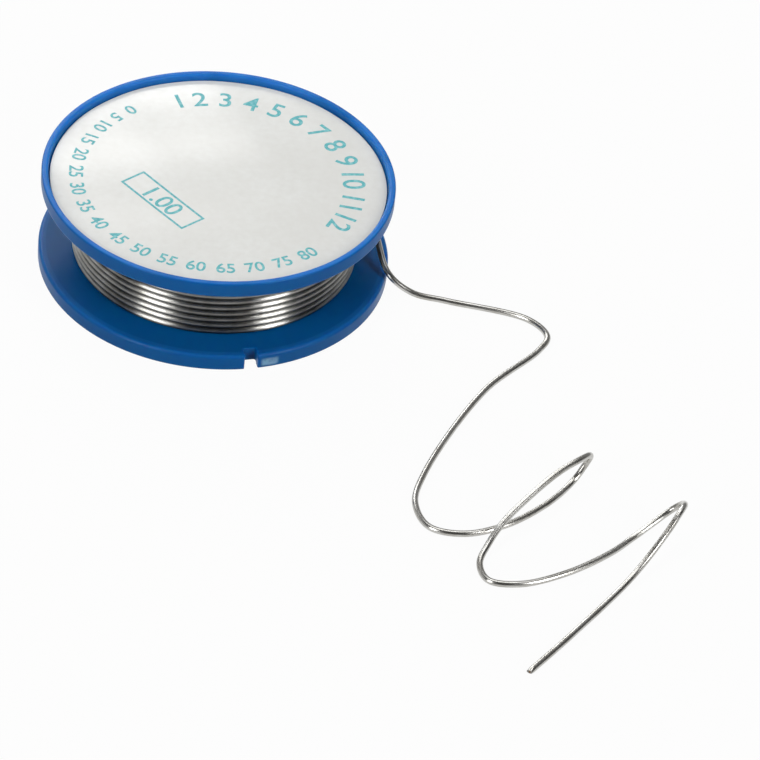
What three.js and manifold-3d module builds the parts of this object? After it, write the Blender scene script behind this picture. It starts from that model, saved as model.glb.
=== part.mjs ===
// Solder wire spool: two moulded halves pressed together at the barrel, a round paper label in the
// upper recess, and the wire: inner layers, the outer layer that shows, and the free end.
// Millimetres, +Z up along the spool's axis, origin in the middle of the lower flange's outer face.
import * as THREE from "three";
import { mergeVertices } from "three/addons/utils/BufferGeometryUtils.js";
import Module from "manifold-3d";

const wasm = await Module();
wasm.setup();

// ---- flanges ----
const flangeDiameter = 56;
const flangeThickness = 2.7; // over the rim
const rimWidth = 1.1; // raised ring round each outer face
const recessDepth = 1.4; // from the rim's face down to the web
const innerEdgeRadius = 0.6; // rounded edge on the wire's side
const outerEdgeRadius = 0.3; // softened edges of the raised ring
const notchWidth = 2; // holds the wire's end between uses
const notchDepth = 1.9;
const notchCornerRadius = 0.35;
const notchAngle = -72; // degrees from +X, in the lower flange's edge

// ---- barrel, sleeve and spigot ----
const windingWidth = 11.6; // between the flanges' inner faces
const barrelDiameter = 25;
const barrelWall = 1.5;
const boreDiameter = 11; // for the holder's spindle
const boreChamfer = 0.4;
const sleeveWall = 1.4;
const ribCount = 6;
const ribThickness = 1.2;
const spigotLength = 4;
const spigotWall = 1.2;
const spigotLead = 0.4; // lead-in bevel at the spigot's end
const seatGap = 0.3; // between faces that touch

// ---- label ----
const labelThickness = 0.2;
const labelMargin = 0.25; // between the paper's edge and the rim
const glueGap = 0.1;

// ---- wire ----
const wireDiameter = 1;
const wireToEdge = 5.3; // from the full winding to the flange's edge
const turnGap = 0.45; // between neighbouring turns of the outer layer
const leaveAngle = 60; // degrees from +X, where the free end leaves the winding

// ---- fineness ----
const roundSegments = 96;
const arcSegments = 3;
const turnSteps = 24;
const turnSides = 6;
const freeSteps = 80;
const freeSides = 8;

const flangeRadius = flangeDiameter / 2;
const recessRadius = flangeRadius - rimWidth;
const webThickness = flangeThickness - recessDepth;
const barrelRadius = barrelDiameter / 2;
const barrelBore = barrelRadius - barrelWall;
const boreRadius = boreDiameter / 2;
const sleeveRadius = boreRadius + sleeveWall;
const wireRadius = wireDiameter / 2;
const windingRadius = flangeRadius - wireToEdge;
const turnRadius = windingRadius - wireRadius; // of the outer layer's middle line
const upperFace = flangeThickness + windingWidth; // inner face of the upper flange
const radians = THREE.MathUtils.degToRad;

const mouldedBlue = { color: 0x0f5aa8, roughness: 0.38, metalness: 0 };
const paperWhite = { color: 0xeeefec, roughness: 0.75, metalness: 0 };
const solderGrey = { color: 0xb9bab8, roughness: 0.28, metalness: 1 };

// A geometry's closed surface as a solid that can be joined and cut.
function toSolid(geometry) {
  const bare = geometry.clone();
  bare.deleteAttribute("normal");
  bare.deleteAttribute("uv");
  const merged = mergeVertices(bare, 1e-4);
  return new wasm.Manifold(
    new wasm.Mesh({
      numProp: 3,
      vertProperties: merged.attributes.position.array,
      triVerts: new Uint32Array(merged.index.array),
    }),
  );
}

// A solid back as a geometry with its normals.
function toGeometry(solid) {
  const mesh = solid.getMesh();
  const geometry = new THREE.BufferGeometry();
  geometry.setAttribute("position", new THREE.BufferAttribute(mesh.vertProperties, 3));
  geometry.setIndex(new THREE.BufferAttribute(mesh.triVerts, 1));
  const faceted = geometry.toNonIndexed();
  faceted.computeVertexNormals();
  return faceted;
}

// The arc that rounds a profile's corner, from one angle to another, as points (radius, height).
function roundedCorner(centreR, centreZ, radius, fromDegrees, toDegrees) {
  const points = [];
  for (let i = 0; i <= arcSegments; i += 1) {
    const angle = radians(fromDegrees + ((toDegrees - fromDegrees) * i) / arcSegments);
    points.push([centreR + radius * Math.cos(angle), centreZ + radius * Math.sin(angle)]);
  }
  return points;
}

// A ring revolved about Z from a closed profile of (radius, height) points, anticlockwise.
function revolved(profile) {
  const points = [...profile, profile[0]].map(([r, z]) => new THREE.Vector2(r, z));
  const geometry = new THREE.LatheGeometry(points, roundSegments);
  geometry.rotateX(Math.PI / 2);
  return toSolid(geometry);
}

// The rim's section of a flange whose outer face is at height 0 and whose inner face looks up,
// from the recess's edge on the web, round the raised ring, to the inner face.
function rimProfile() {
  const out = outerEdgeRadius;
  const inn = innerEdgeRadius;
  return [
    [recessRadius, recessDepth],
    ...roundedCorner(recessRadius + out, out, out, 180, 270),
    ...roundedCorner(flangeRadius - out, out, out, 270, 360),
    ...roundedCorner(flangeRadius - inn, flangeThickness - inn, inn, 0, 90),
  ];
}

// The notch's cutter: a slot that runs in from the edge, with rounded inner corners.
function notchCutter() {
  const half = notchWidth / 2;
  const inner = flangeRadius - notchDepth;
  const outer = flangeRadius + notchWidth;
  const r = notchCornerRadius;
  const outline = new THREE.Shape();
  outline.moveTo(outer, -half);
  outline.lineTo(outer, half);
  outline.lineTo(inner + r, half);
  outline.absarc(inner + r, half - r, r, Math.PI / 2, Math.PI, false);
  outline.absarc(inner + r, r - half, r, Math.PI, 1.5 * Math.PI, false);
  outline.closePath();
  const slot = new THREE.ExtrudeGeometry(outline, {
    depth: flangeThickness * 2,
    bevelEnabled: false,
    curveSegments: arcSegments,
  });
  slot.translate(0, 0, -flangeThickness / 2);
  slot.rotateZ(radians(notchAngle));
  return toSolid(slot);
}

// Lower half: flange and barrel wall in one revolve, the bore's sleeve, and ribs between them.
function lowerHalf() {
  const barrelTop = upperFace - seatGap;
  const flangeAndBarrel = revolved([
    [barrelBore, recessDepth],
    ...rimProfile(),
    [barrelRadius, flangeThickness],
    [barrelRadius, barrelTop],
    [barrelBore, barrelTop],
  ]);
  const sleeve = revolved([
    [boreRadius, boreChamfer],
    [boreRadius + boreChamfer, 0],
    [sleeveRadius, 0],
    [sleeveRadius, barrelTop],
    [boreRadius, barrelTop],
  ]);
  // ribs stop below the spigot and reach a little into both walls
  const ribTop = upperFace - spigotLength - seatGap;
  const reach = barrelWall / 3;
  const ribLength = barrelBore - sleeveRadius + 2 * reach;
  let body = flangeAndBarrel.add(sleeve);
  for (let i = 0; i < ribCount; i += 1) {
    const rib = new THREE.BoxGeometry(ribLength, ribThickness, ribTop - recessDepth);
    rib.translate((barrelBore + sleeveRadius) / 2, 0, (ribTop + recessDepth) / 2);
    rib.rotateZ((2 * Math.PI * (i + 0.5)) / ribCount);
    body = body.add(toSolid(rib));
  }
  return toGeometry(body.subtract(notchCutter()));
}

// Upper half, drawn with its outer face down and turned over when it is placed: flange, the hole
// over the bore, and the spigot that plugs into the barrel.
function upperHalf() {
  const spigotRadius = barrelBore - seatGap;
  const spigotInner = spigotRadius - spigotWall;
  const spigotEnd = flangeThickness + spigotLength;
  return toGeometry(
    revolved([
      [boreRadius, recessDepth],
      ...rimProfile(),
      [spigotRadius, flangeThickness],
      [spigotRadius, spigotEnd - spigotLead],
      [spigotRadius - spigotLead, spigotEnd],
      [spigotInner, spigotEnd],
      [spigotInner, flangeThickness],
      [boreRadius, flangeThickness],
    ]),
  );
}

// Label: a paper disc that covers the recess and the bore.
function labelDisc() {
  const radius = recessRadius - labelMargin;
  const disc = new THREE.LatheGeometry(
    [
      new THREE.Vector2(0, 0),
      new THREE.Vector2(radius, 0),
      new THREE.Vector2(radius, labelThickness),
      new THREE.Vector2(0, labelThickness),
    ],
    roundSegments,
  );
  disc.rotateX(Math.PI / 2);
  return toGeometry(toSolid(disc));
}

// Inner layers of wire, as one core that clears the barrel, the flanges and the outer layer.
function innerLayers() {
  // the outer layer is a polygon, so its flats come nearer to the core than its corners
  const flat = turnRadius * Math.cos(Math.PI / turnSteps);
  const outer = flat - wireRadius - seatGap;
  const inner = barrelRadius + seatGap;
  const low = flangeThickness + seatGap;
  const high = upperFace - seatGap;
  return toGeometry(
    revolved([
      [inner, low],
      [outer, low],
      [outer, high],
      [inner, high],
    ]),
  );
}

// A closed tube of round section round a list of stations, each {point, across, up}.
function tubeThrough(stations, sides, radius) {
  const vertices = [];
  const faces = [];
  stations.forEach(({ point, across, up }) => {
    for (let i = 0; i < sides; i += 1) {
      const angle = (2 * Math.PI * i) / sides;
      vertices.push(
        point
          .clone()
          .addScaledVector(across, radius * Math.cos(angle))
          .addScaledVector(up, radius * Math.sin(angle)),
      );
    }
  });
  for (let s = 0; s < stations.length - 1; s += 1) {
    for (let i = 0; i < sides; i += 1) {
      const a = s * sides + i;
      const b = s * sides + ((i + 1) % sides);
      faces.push(a, b, a + sides, b, b + sides, a + sides);
    }
  }
  const last = (stations.length - 1) * sides;
  for (let i = 1; i < sides - 1; i += 1) {
    faces.push(0, i + 1, i);
    faces.push(last, last + i, last + i + 1);
  }
  const geometry = new THREE.BufferGeometry().setFromPoints(vertices);
  geometry.setIndex(faces);
  return geometry;
}

// Stations of the outer layer: an even helix from the lower flange up to where the free end
// leaves, seen from above clockwise, with both ends straight for one wire diameter.
function outerStations() {
  const low = flangeThickness + seatGap + wireRadius;
  const high = upperFace - seatGap - wireRadius;
  const steps = Math.floor(((high - low) / (wireDiameter + turnGap)) * turnSteps);
  const turns = steps / turnSteps;
  const up = new THREE.Vector3(0, 0, 1);
  const stations = [];
  for (let i = 0; i <= steps; i += 1) {
    const share = i / steps;
    const angle = radians(leaveAngle) + 2 * Math.PI * turns * (1 - share);
    const across = new THREE.Vector3(Math.cos(angle), Math.sin(angle), 0);
    const point = across.clone().multiplyScalar(turnRadius);
    point.z = low + (high - low) * share;
    stations.push({ point, across, up });
  }
  const straight = ({ point, across }, way) => {
    const along = new THREE.Vector3(across.y, -across.x, 0);
    return { point: point.clone().addScaledVector(along, way * wireDiameter), across, up };
  };
  return [straight(stations[0], -1), ...stations, straight(stations[steps], 1)];
}

// Least gap between turns, measured from corner to corner of the rings at least half a turn apart.
function leastGap(stations) {
  const rings = stations.map(({ point, across, up }) => {
    const ring = [];
    for (let i = 0; i < turnSides; i += 1) {
      const angle = (2 * Math.PI * i) / turnSides;
      ring.push(
        point
          .clone()
          .addScaledVector(across, wireRadius * Math.cos(angle))
          .addScaledVector(up, wireRadius * Math.sin(angle)),
      );
    }
    return ring;
  });
  let least = Infinity;
  rings.forEach((ring, i) => {
    rings.slice(i + turnSteps / 2).forEach((other) => {
      ring.forEach((p) => other.forEach((q) => (least = Math.min(least, p.distanceTo(q)))));
    });
  });
  return least;
}

// The free end's route: off the winding, over the lower flange's edge, down to the table, then
// in loose curls that spring up into two low arches, to the bare cut end.
const freeRoute = [
  [12.25, 18.54, 13.5],
  [18.1, 15.0, 13.4],
  [24.0, 8.4, 10.2],
  [26.0, 1.6, 6.0],
  [28.4, -3.5, 3.5],
  [32.3, -4.8, 1.4],
  [37.8, -5.0, 0.65],
  [51.0, -7.3, 0.55],
  [54.3, -11.0, 0.55],
  [53.2, -14.7, 0.55],
  [45.3, -25.9, 0.55],
  [37.0, -47.5, 0.55],
  [36.1, -54.7, 0.55],
  [38.6, -59.6, 0.55],
  [43.9, -60.2, 0.55],
  [50.1, -57.1, 0.57],
  [56.2, -51.0, 0.62],
  [59.7, -45.56, 0.84],
  [61.21, -43.88, 2.84],
  [61.7, -44.09, 4.51],
  [61.5, -45.05, 5.68],
  [60.37, -46.71, 6.26],
  [57.41, -49.77, 6.12],
  [54.56, -52.98, 5.32],
  [49.49, -59.36, 3.11],
  [47.44, -63.11, 1.55],
  [46.43, -66.56, 0.68],
  [47.94, -70.01, 0.6],
  [52.54, -70.06, 0.56],
  [59.16, -66.67, 0.58],
  [65.7, -61.15, 0.68],
  [69.44, -56.6, 0.73],
  [74.55, -52.52, 3.17],
  [75.88, -52.96, 4.82],
  [76.06, -54.87, 6.26],
  [75.53, -56.48, 6.42],
  [73.75, -59.77, 4.94],
  [68.89, -67.04, 1.43],
  [60.72, -79.7, 0.62],
  [54.82, -88.6, 0.55],
];

// Free end: a round section carried along the route.
function freeEnd(curve) {
  const section = new THREE.Shape();
  for (let i = 0; i < freeSides; i += 1) {
    const angle = (2 * Math.PI * i) / freeSides;
    section[i ? "lineTo" : "moveTo"](wireRadius * Math.cos(angle), wireRadius * Math.sin(angle));
  }
  section.closePath();
  const tube = new THREE.ExtrudeGeometry(section, { steps: freeSteps, extrudePath: curve });
  return toGeometry(toSolid(tube));
}

const spool = new THREE.Group();

function place(name, geometry, look) {
  const mesh = new THREE.Mesh(geometry, new THREE.MeshStandardMaterial(look));
  mesh.name = name;
  spool.add(mesh);
  return mesh;
}

place("lower_spool_half", lowerHalf(), mouldedBlue);

const upper = place("upper_spool_half", upperHalf(), mouldedBlue);
upper.rotation.x = Math.PI;
upper.position.z = upperFace + flangeThickness;

const label = place("label_disc", labelDisc(), paperWhite);
label.position.z = upperFace + webThickness + glueGap;

place("inner_winding", innerLayers(), solderGrey);

const stations = outerStations();
place("outer_winding", toGeometry(toSolid(tubeThrough(stations, turnSides, wireRadius))), solderGrey);
console.log("outer winding: least gap to itself " + leastGap(stations).toFixed(2) + " mm");

const points = freeRoute.map(([x, y, z]) => new THREE.Vector3(x, y, z));
const curve = new THREE.CatmullRomCurve3(points, false, "centripetal");
place("free_wire", freeEnd(curve), solderGrey);
console.log("free wire: " + curve.getLength().toFixed(1) + " mm long");

export default spool;
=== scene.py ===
# Solder wire spool: two moulded blue halves, a printed paper label in the top recess, a full
# winding of bright solder wire, and the wire's free end curling away over the table.
import math
import bmesh
import bpy
import numpy as np
from mathutils import Matrix


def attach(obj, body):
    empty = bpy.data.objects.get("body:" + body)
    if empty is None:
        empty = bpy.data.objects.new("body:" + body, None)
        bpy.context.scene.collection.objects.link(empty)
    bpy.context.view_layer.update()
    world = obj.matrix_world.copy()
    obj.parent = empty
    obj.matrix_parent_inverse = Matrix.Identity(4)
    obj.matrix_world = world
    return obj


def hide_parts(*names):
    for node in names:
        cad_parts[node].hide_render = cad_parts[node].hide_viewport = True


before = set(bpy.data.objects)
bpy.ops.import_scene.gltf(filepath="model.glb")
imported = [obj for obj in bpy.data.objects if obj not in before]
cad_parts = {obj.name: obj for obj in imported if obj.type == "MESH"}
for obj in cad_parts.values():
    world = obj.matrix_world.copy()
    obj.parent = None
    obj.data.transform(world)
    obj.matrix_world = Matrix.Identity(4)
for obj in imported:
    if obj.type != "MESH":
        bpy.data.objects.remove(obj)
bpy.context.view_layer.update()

mm = 0.001


def hexLinear(code):  # "#rrggbb" in sRGB to linear red, green, blue, alpha
    parts = [int(code[i:i + 2], 16) / 255 for i in (1, 3, 5)]
    return tuple(c / 12.92 if c <= 0.04045 else ((c + 0.055) / 1.055) ** 2.4 for c in parts) + (1.0,)


def addNode(tree, kind, settings=None, inputs=None, links=None):
    # one node: settings are its own properties, inputs its sockets' values, links what feeds them; a
    # colour mix has its share at socket 0, its two colours at 6 and 7 and its result at 2
    node = tree.nodes.new(kind)
    for key, value in (settings or {}).items():
        setattr(node, key, value)
    for key, value in (inputs or {}).items():
        node.inputs[key].default_value = value
    for key, source in (links or {}).items():
        tree.links.new(source, node.inputs[key])
    return node


def newMaterial(name):
    # a material with its node tree and its Principled shader
    material = bpy.data.materials.new(name)
    material.use_nodes = True
    return material, material.node_tree, material.node_tree.nodes["Principled BSDF"]


def linkPiece(name, mesh, *materials):
    piece = bpy.data.objects.new(name, mesh)
    bpy.context.scene.collection.objects.link(piece)
    for material in materials:
        mesh.materials.append(material)
    return piece


def gridMesh(name, points, closeRows=False, closeColumns=False, capEnds=False, uv=None):
    # a grid of points[row, column] as quads, row r to r + 1 and column c to c + 1, wrapped where closed;
    # capEnds closes the first and last row with one face each; uv is (rows + 1, columns + 1, 2)
    rows, columns = points.shape[:2]
    r = np.arange(rows if closeRows else rows - 1)
    c = np.arange(columns if closeColumns else columns - 1)
    i, j = np.meshgrid(r, c, indexing="ij")
    corners = [(i, j), (i + 1, j), (i + 1, j + 1), (i, j + 1)]
    loops = np.stack([(a % rows) * columns + b % columns for a, b in corners], -1).reshape(-1)
    starts = np.arange(0, loops.size, 4)
    if capEnds:
        ring = np.arange(columns)
        starts = np.concatenate([starts, [loops.size, loops.size + columns]])
        loops = np.concatenate([loops, ring, ((rows - 1) * columns + ring)[::-1]])
    mesh = bpy.data.meshes.new(name)
    mesh.vertices.add(rows * columns)
    mesh.vertices.foreach_set("co", np.ascontiguousarray(points, dtype=np.float32).reshape(-1))
    mesh.loops.add(loops.size)
    mesh.loops.foreach_set("vertex_index", loops.astype(np.int32))
    mesh.polygons.add(starts.size)
    mesh.polygons.foreach_set("loop_start", starts.astype(np.int32))
    mesh.update(calc_edges=True)
    if uv is not None:
        flat = np.stack([uv[a, b] for a, b in corners], 2).reshape(-1, 2)
        if capEnds:
            flat = np.concatenate([flat, np.zeros((2 * columns, 2))])
        mesh.uv_layers.new(name="UVMap").data.foreach_set("uv", flat.astype(np.float32).reshape(-1))
    mesh.validate()
    return mesh


def tidyMesh(mesh, outward=True, angle=32):
    # merges doubles, turns the faces outwards and keeps edges sharper than the angle crisp
    work = bmesh.new()
    work.from_mesh(mesh)
    bmesh.ops.remove_doubles(work, verts=work.verts, dist=1e-7)
    if outward:
        bmesh.ops.recalc_face_normals(work, faces=work.faces)
    work.to_mesh(mesh)
    work.free()
    mesh.shade_smooth()
    mesh.set_sharp_from_angle(angle=math.radians(angle))
    return mesh


def arc(centreR, centreZ, radius, start, end, steps=8):
    # points (radius, height) on a circle's arc, from one angle to another in degrees
    a = np.radians(np.linspace(start, end, steps + 1))
    return np.stack([centreR + radius * np.cos(a), centreZ + radius * np.sin(a)], -1)


def finely(outline, step, near=0.05):
    # a closed outline with its long sides divided, and a point close to each of their ends, so that
    # smooth shading turns only where the edge is rounded
    outline = np.vstack([outline, outline[:1]])
    runs = []
    for a, b in zip(outline[:-1], outline[1:]):
        length = np.linalg.norm(b - a)
        if length < 1e-6:
            continue
        if length < 4 * near:
            share = np.array([0.0])
        else:
            inner = np.linspace(near / length, 1 - near / length, max(2, int(length / step) + 1))
            share = np.concatenate([[0.0], inner])
        runs.append(a + (b - a) * share[:, None])
    return np.vstack(runs)


def revolved(name, outline, segments=360):
    # closed outline (r, z) in mm turned about Z: point (r cos t, r sin t, z) for t round the circle
    t = np.linspace(0, 2 * np.pi, segments, endpoint=False)[:, None]
    r, z = outline[:, 0][None, :], outline[:, 1][None, :]
    points = np.stack([r * np.cos(t), r * np.sin(t), z + 0 * t], -1) * mm
    return gridMesh(name, points, closeRows=True, closeColumns=True)


def tube(name, line, across, up, radius, sides, lengths):
    # round tube: line[k] + radius (across[k] cos a + up[k] sin a), with UV = (mm along, share round)
    a = np.linspace(0, 2 * np.pi, sides, endpoint=False)[None, :, None]
    points = line[:, None, :] + radius * (across[:, None, :] * np.cos(a) + up[:, None, :] * np.sin(a))
    u, v = np.meshgrid(lengths, np.linspace(0, 1, sides + 1), indexing="ij")
    return gridMesh(name, points * mm, closeColumns=True, capEnds=True, uv=np.stack([u, v], -1))


# camera: long lens, 39 degrees above the table, rolled a little
camera = {
    "place": (28.765, -537.894, 420.464),
    "elevation": 39.387,
    "roll": 6.314,
    "lens": 201.683,
}
elevation, roll = math.radians(camera["elevation"]), math.radians(camera["roll"])
back = np.array([0, -math.cos(elevation), math.sin(elevation)])
level = np.array([1.0, 0, 0])
rise = np.cross(back, level)
right = math.cos(roll) * level + math.sin(roll) * rise
top = -math.sin(roll) * level + math.cos(roll) * rise
eye = bpy.data.objects.new("camera", bpy.data.cameras.new("camera"))
bpy.context.scene.collection.objects.link(eye)
eye.data.lens = camera["lens"]
eye.data.sensor_width = 36
eye.data.clip_start = 0.01
eye.data.clip_end = 50
turn = Matrix(np.stack([right, top, back], 1).tolist()).to_4x4()
eye.matrix_world = Matrix.Translation([v * mm for v in camera["place"]]) @ turn
bpy.context.scene.camera = eye
bpy.context.view_layer.update()
print("camera placed")

# free wire: measured along the photograph, resting on the table with two springy bends
freeWire = {
    "diameter": 1.0,
    "sides": 20,
    "step": 0.3,
    "pinch": (0.7, 0.06, 0.4),  # length of the snipped end, how much wider and how much flatter it gets
    "core": 0.35,  # across the rosin in the cut end
    "route": [
        (12.25, 18.54, 13.5), (18.1, 15.0, 13.4), (24.0, 8.4, 10.2), (26.0, 1.6, 6.0),
        (28.4, -3.5, 3.5), (32.3, -4.8, 1.4), (37.8, -5.0, 0.65), (51.0, -7.3, 0.55),
        (54.3, -11.0, 0.55), (53.2, -14.7, 0.55), (45.3, -25.9, 0.55), (37.0, -47.5, 0.55),
        (36.1, -54.7, 0.55), (38.6, -59.6, 0.55), (43.9, -60.2, 0.55), (50.1, -57.1, 0.57),
        (56.2, -51.0, 0.62), (59.7, -45.56, 0.84), (61.21, -43.88, 2.84), (61.7, -44.09, 4.51),
        (61.5, -45.05, 5.68), (60.37, -46.71, 6.26), (57.41, -49.77, 6.12), (54.56, -52.98, 5.32),
        (49.49, -59.36, 3.11), (47.44, -63.11, 1.55), (46.43, -66.56, 0.68), (47.94, -70.01, 0.6),
        (52.54, -70.06, 0.56), (59.16, -66.67, 0.58), (65.7, -61.15, 0.68), (69.44, -56.6, 0.73),
        (74.55, -52.52, 3.17), (75.88, -52.96, 4.82), (76.06, -54.87, 6.26), (75.53, -56.48, 6.42),
        (73.75, -59.77, 4.94), (68.89, -67.04, 1.43), (60.72, -79.7, 0.62), (54.82, -88.6, 0.55),
    ],
}


def centripetal(route, perSpan=60):
    # Catmull-Rom spline through the route, knots spaced by the square root of the distance; each span
    # is a cubic with end tangents from the three neighbouring slopes
    p = np.array(route, float)
    p = np.vstack([2 * p[0] - p[1], p, 2 * p[-1] - p[-2]])
    gap = np.sqrt(np.linalg.norm(np.diff(p, axis=0), axis=1))[:, None]
    slope = np.diff(p, axis=0) / gap
    wide = (p[2:] - p[:-2]) / (gap[1:] + gap[:-1])
    tangent = slope[:-1] - wide + slope[1:]
    p1, p2, d = p[1:-2], p[2:-1], gap[1:-1]
    m1, m2 = tangent[:-1] * d, tangent[1:] * d
    s = (np.arange(perSpan) / perSpan)[None, :, None]
    p1, p2, m1, m2 = (q[:, None, :] for q in (p1, p2, m1, m2))
    line = p1 + m1 * s + (3 * (p2 - p1) - 2 * m1 - m2) * s**2 + (2 * (p1 - p2) + m1 + m2) * s**3
    return np.vstack([line.reshape(-1, 3), p[-2:-1]])


def evenly(line, step):
    # the same line in equal steps, with the distance along it
    along = np.concatenate([[0], np.cumsum(np.linalg.norm(np.diff(line, axis=0), axis=1))])
    even = np.linspace(0, along[-1], int(along[-1] / step) + 1)
    return np.stack([np.interp(even, along, line[:, k]) for k in range(3)], -1), even


wireLine, wireAlong = evenly(centripetal(freeWire["route"]), freeWire["step"])
print("free wire route", round(float(wireAlong[-1]), 1), "mm")

along = np.gradient(wireLine, axis=0)
along /= np.linalg.norm(along, axis=1)[:, None]
steady = np.array([-0.29, 0.2, 0.936])  # the wire never runs within 39 degrees of this direction
across = np.cross(along, steady)
across /= np.linalg.norm(across, axis=1)[:, None]
upward = np.cross(across, along)


def solderMaterial(name, tint, dull, rough, spread, drawn, paintedTurnShade):
    # drawn solder wire: soft grey metal, faint dull oxide in patches, and fine draw marks along the
    # wire, as deep as drawn says, that spread each highlight round it; the last argument is how far the
    # side of each turn that faces the turn below is darkened, painted shade with a little flux residue
    material, tree, shader = newMaterial(name)
    shader.inputs["Metallic"].default_value = 1.0
    shader.inputs["Anisotropic"].default_value = spread
    shader.inputs["Anisotropic Rotation"].default_value = 0.25
    runs = addNode(tree, "ShaderNodeTangent", {"direction_type": "UV_MAP", "uv_map": "UVMap"})
    tree.links.new(runs.outputs["Tangent"], shader.inputs["Tangent"])
    place = addNode(tree, "ShaderNodeTexCoord")
    patch = addNode(tree, "ShaderNodeTexNoise", inputs={"Scale": 260, "Detail": 3.0, "Roughness": 0.6},
                    links={"Vector": place.outputs["Object"]})  # oxide patches about 4 mm long
    mix = addNode(tree, "ShaderNodeMix", {"data_type": "RGBA"},
                  {6: hexLinear(tint), 7: hexLinear(dull)})
    ramp = addNode(tree, "ShaderNodeMapRange", inputs={"From Min": 0.42, "From Max": 0.72},
                   links={"Value": patch.outputs["Fac"]})
    tree.links.new(ramp.outputs["Result"], mix.inputs[0])
    uneven = addNode(tree, "ShaderNodeMapRange", inputs={"To Min": rough, "To Max": rough + 0.05},
                    links={"Value": patch.outputs["Fac"]})
    tree.links.new(uneven.outputs["Result"], shader.inputs["Roughness"])
    # draw marks: 8 mm long, and 0.2 mm wide, which is coarser than real ones are, so that they show
    stretch = addNode(tree, "ShaderNodeMapping", inputs={"Scale": (0.12, 14.0, 1.0)},
                      links={"Vector": place.outputs["UV"]})
    marks = addNode(tree, "ShaderNodeTexNoise", inputs={"Scale": 1.0, "Detail": 2.0},
                    links={"Vector": stretch.outputs["Vector"]})
    bump = addNode(tree, "ShaderNodeBump", inputs={"Strength": drawn, "Distance": 0.02 * mm},
                   links={"Height": marks.outputs["Fac"]})
    tree.links.new(bump.outputs["Normal"], shader.inputs["Normal"])
    share = addNode(tree, "ShaderNodeSeparateXYZ", links={"Vector": place.outputs["UV"]})
    angle = addNode(tree, "ShaderNodeMath", {"operation": "MULTIPLY"}, {1: 2 * math.pi},
                    {0: share.outputs["Y"]})
    low = addNode(tree, "ShaderNodeMath", {"operation": "SINE"}, None, {0: angle.outputs[0]})
    # painted shade: the side of the wire facing down, towards the turn below, is darkened towards near
    # black
    under = addNode(tree, "ShaderNodeMapRange", {"interpolation_type": "SMOOTHSTEP"},
                    {"From Min": -0.45, "From Max": 0.4, "To Max": paintedTurnShade}, {"Value": low.outputs[0]})
    paintedTurnShadeMix = addNode(tree, "ShaderNodeMix", {"data_type": "RGBA"}, {7: hexLinear("#1b1b1a")},
                    {0: under.outputs["Result"], 6: mix.outputs[2]})
    tree.links.new(paintedTurnShadeMix.outputs[2], shader.inputs["Base Color"])
    return material


def cutEndMaterial(centre, core):
    # snipped end: dull sheared metal round an amber rosin core
    material, tree, shader = newMaterial("sheared solder with rosin core")
    place = addNode(tree, "ShaderNodeTexCoord")
    away = addNode(tree, "ShaderNodeVectorMath", {"operation": "DISTANCE"},
                   {1: tuple(v * mm for v in centre)}, {0: place.outputs["Object"]})
    ring = addNode(tree, "ShaderNodeMapRange", None,
                   {"From Min": (core / 2 - 0.025) * mm, "From Max": (core / 2 + 0.025) * mm},
                   {"Value": away.outputs["Value"]})
    mix = addNode(tree, "ShaderNodeMix", {"data_type": "RGBA"},
                  {6: hexLinear("#6e4a1c"), 7: hexLinear("#85837f")},
                  {0: ring.outputs["Result"]})
    tree.links.new(mix.outputs[2], shader.inputs["Base Color"])
    tree.links.new(ring.outputs["Result"], shader.inputs["Metallic"])
    shader.inputs["Roughness"].default_value = 0.38
    return material


brightSolder = solderMaterial("drawn solder wire", "#c2c1bd", "#a29f98", 0.26, 0.4, 0.05, 0.0)
# the wound wire's last figure darkens the side of each turn facing the turn below: painted shade
woundSolder = solderMaterial("drawn solder wire, wound", "#bdbcb7", "#9b9890", 0.31, 1.0, 0.25, 0.85)
cutEnd = cutEndMaterial(freeWire["route"][-1], freeWire["core"])

# the cutters pinch the wire's end to a blunt wedge
pinched, wider, flatter = freeWire["pinch"]
pinch = np.clip((wireAlong - wireAlong[-1] + pinched) / pinched, 0, 1)
pinch = (pinch * pinch * (3 - 2 * pinch))[:, None]
mesh = tube("free_wire_drawn", wireLine, across * (1 + wider * pinch), upward * (1 - flatter * pinch),
            freeWire["diameter"] / 2, freeWire["sides"], wireAlong)
wire = linkPiece("free_wire_drawn", tidyMesh(mesh, outward=False), brightSolder, cutEnd)
mesh.polygons[len(mesh.polygons) - 1].material_index = 1
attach(wire, "root")
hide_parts("free_wire")
print("free wire drawn")

# winding: the outer layer as one tight coil, the layer under it, and a core for the rest
winding = {
    "radius": 22.2,  # of the outer layer's middle line
    "low": 3.25,
    "high": 13.5,
    "rings": 10,
    "leave": 60.0,  # degrees from +X, where the free end leaves
    "jog": 50.0,  # degrees over which each turn climbs to the next, at the back
    "short": 5,  # degrees that the coil lacks to whole turns
    "settle": 36,  # degrees before its end over which it comes true
    "sides": 16,
    "perTurn": 180,
    "straight": 1.28,  # length of the straight end that meets the free wire
    "layer": 0.84,  # distance between layers
    "second": (140, 96, 10),  # the layer under it: leaving angle, steps per turn, sides
    "core": (12.8, 3.0, 14.0, 0.5),  # inner radius, lower and upper face, edge radius
    "coreGap": 0.05,
    "stray": 0.035,  # how far a turn wanders from true, in mm
}


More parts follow.
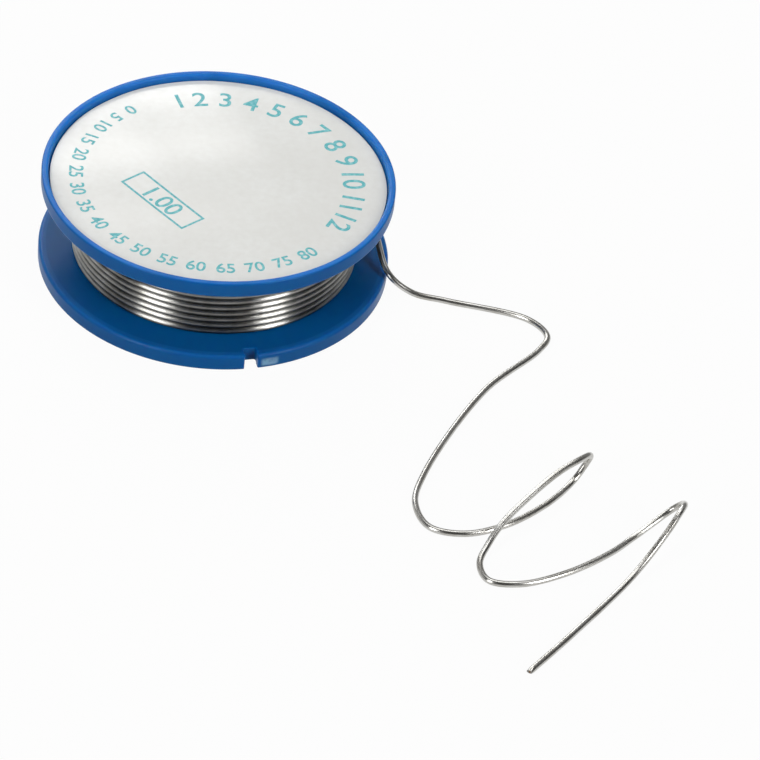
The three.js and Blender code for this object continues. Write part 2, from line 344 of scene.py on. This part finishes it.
def climbing(radius, low, high, rings, leave, perTurn, ease=0.0):
    # level rings wound clockwise, angle from leave + 360 rings - short down to leave; each ring climbs
    # by (high - low) / (rings - 1) on a smoothstep over the first jog degrees after the leaving angle;
    # the radius starts ease smaller and grows over that first jog; slow sines move each turn
    total = 360 * rings - winding["short"]
    turned = np.linspace(0, total, int(rings * perTurn) + 1)  # degrees wound so far
    a = np.radians(leave + total - turned)
    ring, through = np.divmod(turned, 360)
    q = np.clip(through / winding["jog"], 0, 1)
    q = q * q * (3 - 2 * q)
    pitch = (high - low) / (rings - 1)
    level = low + pitch * np.maximum(ring - 1 + q, 0)
    r = radius - ease * np.where(ring < 1, 1 - q, 0)
    r = r + winding["stray"] * np.sin(2.7 * a + 1.3) * np.sin(0.61 * a)
    z = level + winding["stray"] * np.sin(1.9 * a + 0.4) * np.sin(0.37 * a + 2)
    fade = np.clip((total - turned) / winding["settle"], 0, 1)  # none where the free end leaves
    r = radius + (r - radius) * fade
    z = level * (1 - fade) + z * fade
    out = np.stack([np.cos(a), np.sin(a), 0 * a], -1)
    return out * r[:, None] + np.stack([0 * z, 0 * z, z], -1), out


line, out = climbing(winding["radius"], winding["low"], winding["high"], winding["rings"],
                     winding["leave"], winding["perTurn"], ease=winding["layer"])
steps = np.linspace(0, winding["straight"], 6)[1:, None]
leave = np.array([out[-1][1], -out[-1][0], 0])
line = np.vstack([line, line[-1] + leave * steps])
out = np.vstack([out, np.repeat(out[-1:], len(steps), 0)])
length = np.concatenate([[0], np.cumsum(np.linalg.norm(np.diff(line, axis=0), axis=1))])
plumb = np.tile([0, 0, 1.0], (len(line), 1))
mesh = tube("outer_winding_tight", line, out, -plumb, freeWire["diameter"] / 2, winding["sides"], length)
outer = linkPiece("outer_winding_tight", tidyMesh(mesh, outward=False), woundSolder)
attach(outer, "root")
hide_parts("outer_winding")
print("outer winding", winding["rings"], "turns")

half = (winding["high"] - winding["low"]) / (winding["rings"] - 1) / 2
leaving, perTurn, sides = winding["second"]
line, out = climbing(winding["radius"] - winding["layer"], winding["low"] + half, winding["high"] - half,
                     winding["rings"] - 1, leaving, perTurn)
length = np.concatenate([[0], np.cumsum(np.linalg.norm(np.diff(line, axis=0), axis=1))])
plumb = np.tile([0, 0, 1.0], (len(line), 1))
mesh = tube("second_layer", line, out, -plumb, freeWire["diameter"] / 2, sides, length)
second = linkPiece("second_layer", tidyMesh(mesh, outward=False), woundSolder)
inner, low, high, edge = winding["core"]
outside = winding["radius"] - winding["layer"] - freeWire["diameter"] / 2 - winding["coreGap"]
outline = np.vstack([arc(outside - edge, low + edge, edge, -90, 0),
                     arc(outside - edge, high - edge, edge, 0, 90), [[inner, high], [inner, low]]])
mesh = revolved("winding_core", finely(outline, 2.0), 180)
core = linkPiece("winding_core", tidyMesh(mesh), woundSolder)
for piece in (second, core):
    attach(piece, "root")
    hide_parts("inner_winding")
print("inner winding drawn")

# reel: two mouldings; every size is the CAD's but the softened edges and the wall round the notch
reel = {
    "flangeRadius": 28.0,
    "flangeThickness": 2.7,
    "rimWidth": 1.1,
    "recess": 1.4,
    "barrelRadius": 12.5,
    "barrelBore": 11.0,
    "boreRadius": 5.5,
    "sleeveRadius": 6.9,
    "upperFace": 14.3,
    "barrelRoot": 0.3,  # radius where the barrel meets the flange
    "barrelEdge": 0.15,  # bevel of its free edge, and radius at its root inside
    "boreBevel": 0.4,
    "sleeveEdge": 0.2,
    "spigot": (9.5, 10.7, 4.0, 0.4),  # inner radius, outer radius, length, lead-in bevel
    "ribs": (6, 1.2, 10.0),  # count, thickness, top
    "ribEdge": (0.15, 0.75),  # softened lower edge: its height, and the width left at its foot
    "edges": (0.2, 0.4, 0.3, 0.6),  # radii: recess corner, ring inside, ring outside, wire's side
    "notch": (-72.0, 2.05, 26.1, 0.35),  # direction, width, inner end, corner radius
    "notchWall": (1.0, 0.4, 0.6),  # wall round the notch: thickness, lower edge, corner radius
    "notchEdge": (0.18, 0.4),  # radii: its upper and lower edges, its two corners at the rim
    "seat": 0.3,  # gap between the barrel's top and the upper half
    "palePatch": (-65.9, 1.4, 0.45, 1.8),  # direction, half width, lower and upper edge of a pale patch painted on the outer wall
    "palePatchFade": (0.25, 0.45, 0.35),  # how far its edges fade: outwards, in from its sides, in upright
    "palePatchReach": (27.3, 27.5),  # radii between which it begins, on the flange's outer wall
    "rimHighlightRing": (26.7, 26.95, 27.75, 27.98),  # radii where the painted rim highlight starts, is full, fades, has gone
    "rimHighlightHeights": (4.0, 15.5),  # heights between which the painted highlight grows from faint to full
    "colour": "#00528e",
    # pale blue of the painted rim highlight
    "rimHighlightColour": "#2470b8",
    "palePatchColour": "#7aa3bf",
}


def mouldedMaterial(name, reel):
    # injection-moulded high-impact polystyrene: even saturated blue with a soft gloss, a little light
    # passing into it; handling marks vary its gloss, a paler band round the rims' edges that grows stronger
    # higher up is a painted highlight, the mould's polish leaves a faint orange peel, and a pale speckled
    # patch is painted beside the notch
    material, tree, shader = newMaterial(name)
    shader.inputs["IOR"].default_value = 1.57
    shader.inputs["Specular IOR Level"].default_value = 0.1
    shader.inputs["Subsurface Weight"].default_value = 0.7
    shader.inputs["Subsurface Radius"].default_value = (0.1, 0.5, 1.0)
    shader.inputs["Subsurface Scale"].default_value = 2.5 * mm
    place = addNode(tree, "ShaderNodeTexCoord")

    def ramp(value, start, end, low=0.0, high=1.0):
        return addNode(tree, "ShaderNodeMapRange", {"interpolation_type": "SMOOTHSTEP"},
                       {"From Min": start, "From Max": end, "To Min": low, "To Max": high},
                       {"Value": value}).outputs["Result"]

    def times(a, b):
        return addNode(tree, "ShaderNodeMath", {"operation": "MULTIPLY"}, None, {0: a, 1: b}).outputs[0]

    flat = addNode(tree, "ShaderNodeVectorMath", {"operation": "MULTIPLY"}, {1: (1, 1, 0)},
                   {0: place.outputs["Object"]})
    reach = addNode(tree, "ShaderNodeVectorMath", {"operation": "LENGTH"}, None, {0: flat.outputs[0]})
    rise = addNode(tree, "ShaderNodeSeparateXYZ", links={"Vector": place.outputs["Object"]})
    # painted highlight: a paler band round each rim's edge, fuller on the upper rim
    starts, full, fades, gone = (r * mm for r in reel["rimHighlightRing"])
    faint, strong = (h * mm for h in reel["rimHighlightHeights"])
    ring = times(ramp(reach.outputs["Value"], starts, full),
                 ramp(reach.outputs["Value"], fades, gone, 1.0, 0.05))
    ring = times(ring, ramp(rise.outputs["Z"], faint, strong, 0.3, 1.0))
    smudge = addNode(tree, "ShaderNodeTexNoise", inputs={"Scale": 140, "Detail": 4.0},
                     links={"Vector": place.outputs["Object"]})  # handling marks in the gloss, about 7 mm wide, that also break up the painted highlight
    paintedRimHighlight = times(ring, ramp(smudge.outputs["Fac"], 0.3, 0.6, 0.55, 1.0))
    mix = addNode(tree, "ShaderNodeMix", {"data_type": "RGBA"},
                  {6: hexLinear(reel["colour"]), 7: hexLinear(reel["rimHighlightColour"])}, {0: paintedRimHighlight})
    # a pale speckled patch painted on the lower flange's outer wall beside the notch
    direction, half, low, high = reel["palePatch"]
    turned = addNode(tree, "ShaderNodeVectorRotate", {"rotation_type": "Z_AXIS"},
                     {"Angle": -math.radians(direction)}, {"Vector": place.outputs["Object"]})
    turned = addNode(tree, "ShaderNodeSeparateXYZ", links={"Vector": turned.outputs[0]})
    aside = addNode(tree, "ShaderNodeMath", {"operation": "ABSOLUTE"}, None, {0: turned.outputs["Y"]})
    past, sideways, upright = reel["palePatchFade"]
    begins, wholly = (r * mm for r in reel["palePatchReach"])
    patch = times(ramp(aside.outputs[0], (half + past) * mm, (half - sideways) * mm),
                  ramp(turned.outputs["X"], begins, wholly))
    patch = times(patch, ramp(rise.outputs["Z"], (low - past) * mm, (low + upright) * mm))
    patch = times(patch, ramp(rise.outputs["Z"], (high + past) * mm, (high - upright) * mm))
    patchSpecks = addNode(tree, "ShaderNodeTexNoise", inputs={"Scale": 1100, "Detail": 3.0},
                     links={"Vector": place.outputs["Object"]})  # specks in the patch, about 1 mm long
    patch = times(patch, ramp(patchSpecks.outputs["Fac"], 0.25, 0.55, 0.5, 0.95))
    patchedColour = addNode(tree, "ShaderNodeMix", {"data_type": "RGBA"}, {7: hexLinear(reel["palePatchColour"])},
                      {0: patch, 6: mix.outputs[2]})
    tree.links.new(patchedColour.outputs[2], shader.inputs["Base Color"])
    tree.links.new(ramp(smudge.outputs["Fac"], 0.2, 0.8, 0.28, 0.44), shader.inputs["Roughness"])
    peel = addNode(tree, "ShaderNodeTexNoise", inputs={"Scale": 1400, "Detail": 1.0},
                   links={"Vector": place.outputs["Object"]})  # orange peel, 0.7 mm
    bump = addNode(tree, "ShaderNodeBump", inputs={"Strength": 0.12, "Distance": 0.02 * mm},
                   links={"Height": peel.outputs["Fac"]})
    tree.links.new(bump.outputs["Normal"], shader.inputs["Normal"])
    return material


mouldedBlue = mouldedMaterial("moulded polystyrene, blue", reel)


def joinOrCut(piece, other, how):
    # the two closed shapes as one mesh: how is UNION or DIFFERENCE
    change = piece.modifiers.new(how, "BOOLEAN")
    change.operation = how
    change.solver = "EXACT"
    change.object = other
    bpy.context.view_layer.update()
    seen = piece.evaluated_get(bpy.context.evaluated_depsgraph_get())
    result = bpy.data.meshes.new_from_object(seen)
    piece.modifiers.clear()
    piece.data = result
    bpy.data.objects.remove(other)


outerRadius, rimHeight, recess = reel["flangeRadius"], reel["flangeThickness"], reel["recess"]
recessRadius = outerRadius - reel["rimWidth"]


def rimOutline():
    # from the web out round the raised ring to the inner face, outer face at height 0
    corner, inside, outside, wireSide = reel["edges"]
    return np.vstack([
        arc(recessRadius - corner, recess - corner, corner, 90, 0, 5),
        arc(recessRadius + inside, inside, inside, 180, 270, 8),
        arc(outerRadius - outside, outside, outside, 270, 360, 6),
        arc(outerRadius - wireSide, rimHeight - wireSide, wireSide, 0, 90, 10),
    ])


# lower half: flange and barrel, bore sleeve and ribs, less the notch for the wire's end
barrel, barrelTop = reel["barrelRadius"], reel["upperFace"] - reel["seat"]
root, edge = reel["barrelRoot"], reel["barrelEdge"]
outline = np.vstack([
    [[reel["barrelBore"], barrelTop]],
    arc(reel["barrelBore"] + edge, recess + edge, edge, 180, 270, 4),
    rimOutline(),
    arc(barrel + root, rimHeight + root, root, 270, 180, 5),
    [[barrel, barrelTop - edge], [barrel - edge, barrelTop]],
])
lower = linkPiece("lower_half_moulding", tidyMesh(revolved("lower_half_moulding", finely(outline, 0.8))),
                  mouldedBlue)
bore, sleeveRadius = reel["boreRadius"], reel["sleeveRadius"]
bevel, edge = reel["boreBevel"], reel["sleeveEdge"]
sleeve = np.vstack([
    [[bore, barrelTop], [bore, bevel], [bore + bevel, 0]],
    arc(sleeveRadius - edge, edge, edge, 270, 360, 4),
    [[sleeveRadius, barrelTop]],
])
joinOrCut(lower, linkPiece("sleeve", tidyMesh(revolved("sleeve", finely(sleeve, 1.5), 180))), "UNION")


def slab(name, outlines, heights):
    # plan outlines (x, y) stacked at their heights and closed at both ends
    points = np.stack([np.column_stack([o, np.full(len(o), h)]) for o, h in zip(outlines, heights)])
    return linkPiece(name, tidyMesh(gridMesh(name, points * mm, closeColumns=True, capEnds=True)))


def spun(degrees):
    # what row vectors (x, y) are multiplied by to turn them anticlockwise
    a = math.radians(degrees)
    return np.array([[math.cos(a), math.sin(a)], [-math.sin(a), math.cos(a)]])


count, thick, ribTop = reel["ribs"]
edge, foot = reel["ribEdge"]
for k in range(count):
    spin = spun(360 * (k + 0.5) / count)
    x0, x1, y = sleeveRadius - 0.5, reel["barrelBore"] + 0.5, thick / 2  # reaching into both walls
    plan = np.array([[x0, -y], [x1, -y], [x1, y], [x0, y]])
    slim = plan * [1, foot]
    joinOrCut(lower, slab("rib", [slim @ spin, plan @ spin, plan @ spin], [recess, recess + edge, ribTop]),
              "UNION")


def notchOutline(width, inner, corner, soften, spread):
    # a slot from past the flange's edge to its rounded inner end, wider by spread all round; near the
    # edge each side turns out on a quarter circle of radius soften
    half, far = width / 2, outerRadius + 2
    turn = np.radians(np.linspace(0, 90, 7))
    flare = np.column_stack([outerRadius - soften * (1 - np.sin(turn)), half + soften * (1 - np.cos(turn))])
    inside = arc(inner + corner, half - corner, corner, 90, 180, 6)
    upperSide = np.vstack([[[far, flare[-1, 1]]], flare[::-1], inside]) + [0, spread]
    upperSide[-7:, 0] -= spread
    lowerSide = upperSide[::-1] * [1, -1]
    return np.vstack([upperSide, lowerSide])


direction, width, inner, corner = reel["notch"]
spin = spun(direction)

# in the recess a wall almost as high as the rim goes round the notch's inner end
thick, wallLow, bend = reel["notchWall"]
half, near, far = width / 2 + thick, inner - thick, recessRadius + 0.2
plan = np.vstack([[[far, -half], [far, half]], arc(near + bend, half - bend, bend, 90, 180, 5),
                  arc(near + bend, bend - half, bend, 180, 270, 5)])
slim = (plan - [inner, 0]) * [0.92, 0.95] + [inner, 0]  # softened lower edge
joinOrCut(lower, slab("notch_wall", [slim @ spin, plan @ spin, plan @ spin],
                      [wallLow, wallLow + 0.12, recess + 0.3]), "UNION")


def drawnBack(depth, radius):
    # how far a rounded edge is drawn back at a depth under its face: r - sqrt(r^2 - (r - depth)^2)
    return radius - np.sqrt(np.maximum(radius**2 - np.maximum(radius - depth, 0)**2, 0))


soft, flare = reel["notchEdge"]
rounding = soft * (1 - np.cos(np.radians([0, 30, 60, 90])))
heights = np.concatenate([[-1], rounding, rimHeight - rounding[::-1], [rimHeight + 1]])
spread = drawnBack(np.minimum(heights, rimHeight - heights), soft)
cutter = slab("notch", [notchOutline(width, inner, corner, flare, s) @ spin for s in spread], heights)
joinOrCut(lower, cutter, "DIFFERENCE")
tidyMesh(lower.data, outward=False)
lower.data.materials.clear()
lower.data.materials.append(mouldedBlue)
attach(lower, "root")
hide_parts("lower_spool_half")
print("lower half", len(lower.data.polygons), "faces")

# upper half: the same rim turned over, a hole over the bore and a spigot that plugs into the barrel
total = reel["upperFace"] + rimHeight
spigotIn, spigotOut, spigotLong, lead = reel["spigot"]
end = rimHeight + spigotLong
outline = np.vstack([
    [[bore, recess]],
    rimOutline(),
    [[spigotOut, rimHeight], [spigotOut, end - lead], [spigotOut - lead, end], [spigotIn, end],
     [spigotIn, rimHeight], [bore, rimHeight]],
])
outline = finely(outline, 0.8) * [1, -1] + [0, total]
upper = linkPiece("upper_half_moulding", tidyMesh(revolved("upper_half_moulding", outline)), mouldedBlue)
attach(upper, "root")
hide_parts("upper_spool_half")
print("upper half", len(upper.data.polygons), "faces")

# label: coated paper stuck down in the recess, not quite flat, printed in one teal ink
label = {
    "radius": 26.65,
    "low": 15.7,
    "thickness": 0.2,
    "wave": 0.03,
    "paper": "#dfe0dd",
    "ink": "#4aa7ae",
    "bigRing": (19.7, 114.0, -27.0, 3.7),  # radius to the foot, first and last direction, height
    "smallRing": (23.6, 133.0, 317.0, 2.3),
    "bold": 0.03,  # how far every stroke is widened
    "digitShare": 0.72,  # a digit's height as a share of the font's size
    "inkHeight": 0.012,  # half the thickness of the print
    "box": (-8.2, -6.87, -44.3, 15.0, 4.7, 0.36),  # centre, turn, length, height, line
    "gauge": ("1.00", 3.3),  # the wire's diameter and the figures' height
}


def paperHeight(x, y):
    # low swells of the paper: the sum of three slow sines, in mm over its flat level
    return label["wave"] * (np.sin(0.21 * x + 0.13 * y + 0.6) + 0.7 * np.sin(0.34 * y - 0.11 * x)
                            + 0.5 * np.sin(0.47 * x + 0.31 * y + 2.0))


radii = np.concatenate([[0.0], np.linspace(0.6, label["radius"] - 0.06, 44)])
t = np.linspace(0, 2 * np.pi, 240, endpoint=False)[:, None]
topSide = np.stack([radii[None, :] * np.cos(t), radii[None, :] * np.sin(t)], -1)
rimSide = label["radius"] * np.stack([np.cos(t), np.sin(t)], -1)
plan = np.concatenate([topSide, rimSide, rimSide, topSide[:, ::-1]], 1)
swell = paperHeight(plan[..., 0], plan[..., 1])
level = np.concatenate([np.full(len(radii), label["thickness"]), [label["thickness"] - 0.05, 0.05],
                        np.zeros(len(radii))])
z = label["low"] + level[None, :] + np.where(level > 0.1, swell, 0)
points = np.concatenate([plan, z[..., None]], -1)[:, ::-1]


def paperMaterial(name, colour):
    # white coated label paper: near-white, satin, faint fibre mottle and a barely uneven surface
    material, tree, shader = newMaterial(name)
    place = addNode(tree, "ShaderNodeTexCoord")
    fibre = addNode(tree, "ShaderNodeTexNoise", inputs={"Scale": 900, "Detail": 4.0},
                    links={"Vector": place.outputs["Object"]})  # fibre clumps, 1 mm
    cloud = addNode(tree, "ShaderNodeTexNoise", inputs={"Scale": 75, "Detail": 2.0},
                    links={"Vector": place.outputs["Object"]})  # uneven glue under the paper, 13 mm
    both = addNode(tree, "ShaderNodeMath", {"operation": "MULTIPLY"}, None,
                   {0: fibre.outputs["Fac"], 1: cloud.outputs["Fac"]})
    shade = addNode(tree, "ShaderNodeMapRange", inputs={"From Min": 0.1, "From Max": 0.45},
                    links={"Value": both.outputs[0]})
    mix = addNode(tree, "ShaderNodeMix", {"data_type": "RGBA"},
                  {6: hexLinear("#d8d8d4"), 7: hexLinear(colour)}, {0: shade.outputs["Result"]})
    tree.links.new(mix.outputs[2], shader.inputs["Base Color"])
    shader.inputs["Roughness"].default_value = 0.16
    shader.inputs["Specular IOR Level"].default_value = 0.5
    bump = addNode(tree, "ShaderNodeBump", inputs={"Strength": 0.1, "Distance": 0.03 * mm},
                   links={"Height": fibre.outputs["Fac"]})
    tree.links.new(bump.outputs["Normal"], shader.inputs["Normal"])
    return material


def inkMaterial(name, colour):
    # teal printing ink: thin and a little uneven, so the paper shows through in places
    material, tree, shader = newMaterial(name)
    place = addNode(tree, "ShaderNodeTexCoord")
    thin = addNode(tree, "ShaderNodeTexNoise", inputs={"Scale": 1500, "Detail": 3.0},
                   links={"Vector": place.outputs["Object"]})  # ink take-up, 0.7 mm
    shade = addNode(tree, "ShaderNodeMapRange", inputs={"From Min": 0.45, "From Max": 0.75},
                    links={"Value": thin.outputs["Fac"]})
    mix = addNode(tree, "ShaderNodeMix", {"data_type": "RGBA"},
                  {6: hexLinear(colour), 7: hexLinear("#86c6ca")}, {0: shade.outputs["Result"]})
    tree.links.new(mix.outputs[2], shader.inputs["Base Color"])
    shader.inputs["Roughness"].default_value = 0.5
    return material


paper = paperMaterial("coated label paper", label["paper"])
ink = inkMaterial("teal printing ink", label["ink"])
mesh = tidyMesh(gridMesh("paper_label", points * mm, closeRows=True))
disc = linkPiece("paper_label", mesh, paper)
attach(disc, "root")
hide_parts("label_disc")


def printed(name, words, height):
    # plain numbers as a thin closed mesh, centred on x and standing on y = 0, in mm
    curve = bpy.data.curves.new(name, "FONT")
    curve.body = words
    curve.align_x = "CENTER"
    curve.size = height
    curve.extrude = label["inkHeight"]
    curve.offset = label["bold"]
    curve.resolution_u = 6
    text = bpy.data.objects.new(name, curve)
    bpy.context.scene.collection.objects.link(text)
    bpy.context.view_layer.update()
    made = bpy.data.meshes.new_from_object(text.evaluated_get(bpy.context.evaluated_depsgraph_get()))
    bpy.data.objects.remove(text)
    co = np.empty(len(made.vertices) * 3, np.float32)
    made.vertices.foreach_get("co", co)
    co = co.reshape(-1, 3)
    co[:, :2] /= label["digitShare"]
    return made, co


def layDown(made, co, x, y, turnDegrees):
    # turns and moves a printed mesh on the paper and lets it follow the paper's swells
    flat = co[:, :2] @ spun(turnDegrees) + [x, y]
    z = label["low"] + label["thickness"] + paperHeight(flat[:, 0], flat[:, 1]) + label["inkHeight"]
    points = np.column_stack([flat, z + co[:, 2]]) * mm
    made.vertices.foreach_set("co", points.astype(np.float32).reshape(-1))
    made.update()
    return made


def joined(name, meshes, material):
    # several meshes as one piece
    work = bmesh.new()
    for part in meshes:
        work.from_mesh(part)
        bpy.data.meshes.remove(part)
    mesh = bpy.data.meshes.new(name)
    work.to_mesh(mesh)
    work.free()
    tidyMesh(mesh)
    piece = linkPiece(name, mesh, material)
    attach(piece, "root")


def ringOfNumbers(values, foot, first, last, height, readInside):
    # plain numbers round the label with equal gaps: each takes an angle in proportion to its width
    made = [printed("number", str(v), height) for v in values]
    widths = np.array([np.ptp(co[:, 0]) for _, co in made])
    gap = (abs(math.radians(last - first)) * foot - widths.sum()) / (len(values) - 1)
    middles = np.cumsum(widths + gap) - gap - widths / 2
    turned = first + math.copysign(1, last - first) * np.degrees(middles / foot)
    laid = []
    for (mesh, co), a in zip(made, turned):
        co[:, 0] -= (co[:, 0].min() + co[:, 0].max()) / 2
        place = foot * np.array([math.cos(math.radians(a)), math.sin(math.radians(a))])
        laid.append(layDown(mesh, co, place[0], place[1], a - 90 if readInside else a + 90))
    return laid


foot, first, last, height = label["bigRing"]
parts = ringOfNumbers(range(1, 13), foot, first, last, height, True)  # a dial, read from inside
foot, first, last, height = label["smallRing"]
parts += ringOfNumbers(range(0, 85, 5), foot, first, last, height, False)  # a scale, read from outside
x, y, lean, wide, high, line = label["box"]
words, height = label["gauge"]
made, co = printed("gauge", words, height)
below = np.array([0, -height / 2]) @ spun(lean)
parts.append(layDown(made, co, x + below[0], y + below[1], lean))
joined("printed_numbers", parts, ink)


def boxPoints(wide, high, line):
    # a rectangle's outline as a flat bar: outer and inner rectangle, bottom and top
    corners = np.array([[-1, -1], [1, -1], [1, 1], [-1, 1]]) / 2
    outer = corners * [wide, high]
    inner = corners * [wide - 2 * line, high - 2 * line]
    side = np.linspace(0, 1, 13)[:-1, None]

    def divided(loop):
        ends = np.roll(loop, -1, 0)
        return np.vstack([a + (b - a) * side for a, b in zip(loop, ends)])

    h = label["inkHeight"]
    rings = [(divided(outer), -h), (divided(outer), h), (divided(inner), h), (divided(inner), -h)]
    return np.stack([np.column_stack([p, np.full(len(p), z)]) for p, z in rings])


bar = boxPoints(wide, high, line)
made = gridMesh("box", bar, closeRows=True, closeColumns=True)
joined("printed_box", [layDown(made, bar.reshape(-1, 3), x, y, lean)], ink)
print("label printed")

# table, lamps and surroundings of a small product set
studio = {
    "floor": "#c8c8c6",
    "glow": 0.955,  # share of the floor that shows as plain white, the rest is lit and keeps shadows
    "dark": "#121214",  # surroundings in front and beside
    "bright": "#8c8c8c",  # surroundings behind
    "aim": (0.02, -0.03, 0.0),  # what every lamp points at
    "lamps": [  # name, place in metres, size in metres, watts
        ("left strip", (-0.75, -0.91, 0.66), (0.44, 1.0), 11.0),
        ("right strip", (0.94, -0.70, 0.66), (0.36, 1.0), 11.0),
        ("back left softbox", (-0.168, 0.402, 0.240), (0.30, 0.17), 0.95),
        ("top softbox", (0.0, 0.35, 1.1), (0.6, 0.6), 3.4),
        ("left card", (-0.90, 0.10, 0.35), (0.8, 0.5), 0.7),
    ],
}
floorMaterial, tree, shader = newMaterial("white table top")
shader.inputs["Base Color"].default_value = hexLinear(studio["floor"])
shader.inputs["Roughness"].default_value = 0.9
shader.inputs["Specular IOR Level"].default_value = 0.0
path = addNode(tree, "ShaderNodeLightPath")
seen = addNode(tree, "ShaderNodeMath", {"operation": "MAXIMUM"}, None,
               {0: path.outputs["Is Camera Ray"], 1: path.outputs["Is Glossy Ray"]})
seen = addNode(tree, "ShaderNodeMath", {"operation": "MAXIMUM"}, None,
               {0: seen.outputs[0], 1: path.outputs["Is Transmission Ray"]})
share = addNode(tree, "ShaderNodeMath", {"operation": "MULTIPLY"}, {1: studio["glow"]},
                {0: seen.outputs[0]})
glow = addNode(tree, "ShaderNodeEmission", inputs={"Color": (1, 1, 1, 1), "Strength": 1.0})
blend = addNode(tree, "ShaderNodeMixShader", None, None,
                {0: share.outputs[0], 1: shader.outputs[0], 2: glow.outputs[0]})
tree.links.new(blend.outputs[0], tree.nodes["Material Output"].inputs["Surface"])
corners = np.array([[[-6, -6, 0], [-6, 6, 0]], [[6, -6, 0], [6, 6, 0]]], float) - [0, 0, 0.02 * mm]
table = linkPiece("table", gridMesh("table", corners), floorMaterial)

for name, place, size, watts in studio["lamps"]:
    lamp = bpy.data.lights.new(name, "AREA")
    lamp.shape = "RECTANGLE"
    lamp.size, lamp.size_y = size
    lamp.energy = watts
    holder = bpy.data.objects.new(name, lamp)
    holder.visible_camera = False
    bpy.context.scene.collection.objects.link(holder)
    towards = np.array(studio["aim"]) - place
    z = -towards / np.linalg.norm(towards)
    x = np.cross([0, 0, 1], z)
    x /= np.linalg.norm(x)
    holder.matrix_world = (Matrix.Translation(place)
                           @ Matrix(np.stack([x, np.cross(z, x), z], 1).tolist()).to_4x4())

world = bpy.data.worlds.new("studio")
bpy.context.scene.world = world
world.use_nodes = True
tree = world.node_tree
place = addNode(tree, "ShaderNodeTexCoord")
parts = addNode(tree, "ShaderNodeSeparateXYZ", links={"Vector": place.outputs["Generated"]})
behind = addNode(tree, "ShaderNodeMapRange", {"interpolation_type": "SMOOTHSTEP"},
                 {"From Min": 0.05, "From Max": 0.55}, {"Value": parts.outputs["Y"]})
mix = addNode(tree, "ShaderNodeMix", {"data_type": "RGBA"},
              {6: hexLinear(studio["dark"]), 7: hexLinear(studio["bright"])}, {0: behind.outputs["Result"]})
tree.links.new(mix.outputs[2], tree.nodes["Background"].inputs["Color"])
bpy.context.scene.view_settings.view_transform = "Standard"
print("studio lit")
